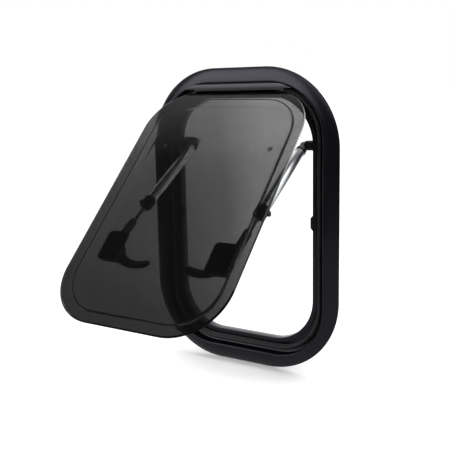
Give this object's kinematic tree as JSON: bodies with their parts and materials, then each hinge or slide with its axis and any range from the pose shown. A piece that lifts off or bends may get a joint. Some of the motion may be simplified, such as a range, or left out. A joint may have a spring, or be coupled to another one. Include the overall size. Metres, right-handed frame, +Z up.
{
  "type": "caravan window",
  "caption": "Top-hung caravan window in a black frame with rounded corners and a smoked double acrylic pane held open on two telescopic stays.",
  "frame": {"origin": "on the flat back of the bottom flange, midway across its width and centred left to right", "axes": "+X right seen from outside, +Y into the vehicle, +Z up"},
  "size_m": [0.36, 0.3647, 0.51],
  "materials": {
    "frame_plastic": "satin",
    "rubber": "matt",
    "rail_aluminium": "satin",
    "smoked_acrylic": "polished",
    "smoked_acrylic_inner": "polished",
    "vent_plug": "satin",
    "fitting_plastic": "satin",
    "pin_steel": "brushed",
    "tube_aluminium": "satin",
    "rod_aluminium": "polished",
    "latch_plastic": "satin"
  },
  "bodies": {
    "root": {"outer_frame": "frame_plastic", "frame_seal": "rubber", "hinge_rail": "rail_aluminium", "pane_hanger": "rail_aluminium", "outer_sheet": "smoked_acrylic", "inner_sheet": "smoked_acrylic_inner", "vent_plug_left": "vent_plug", "vent_plug_right": "vent_plug", "frame_pad_left": "rubber", "frame_pad_right": "rubber", "stay_bracket_left": "fitting_plastic", "stay_bracket_right": "fitting_plastic", "bracket_pin_left": "pin_steel", "bracket_pin_right": "pin_steel", "tube_eye_left": "fitting_plastic", "tube_eye_right": "fitting_plastic", "stay_tube_left": "tube_aluminium", "stay_tube_right": "tube_aluminium", "stay_clamp_left": "fitting_plastic", "stay_clamp_right": "fitting_plastic", "clamp_knob_left": "fitting_plastic", "clamp_knob_right": "fitting_plastic", "stay_rod_left": "rod_aluminium", "stay_rod_right": "rod_aluminium", "rod_end_left": "fitting_plastic", "rod_end_right": "fitting_plastic", "stay_foot_left": "fitting_plastic", "stay_foot_right": "fitting_plastic", "foot_pin_left": "pin_steel", "foot_pin_right": "pin_steel", "latch_base_left": "latch_plastic", "latch_base_right": "latch_plastic", "latch_lever_left": "latch_plastic", "latch_lever_right": "latch_plastic", "latch_cap_left": "latch_plastic", "latch_cap_right": "latch_plastic"}
  },
  "joints": []
}
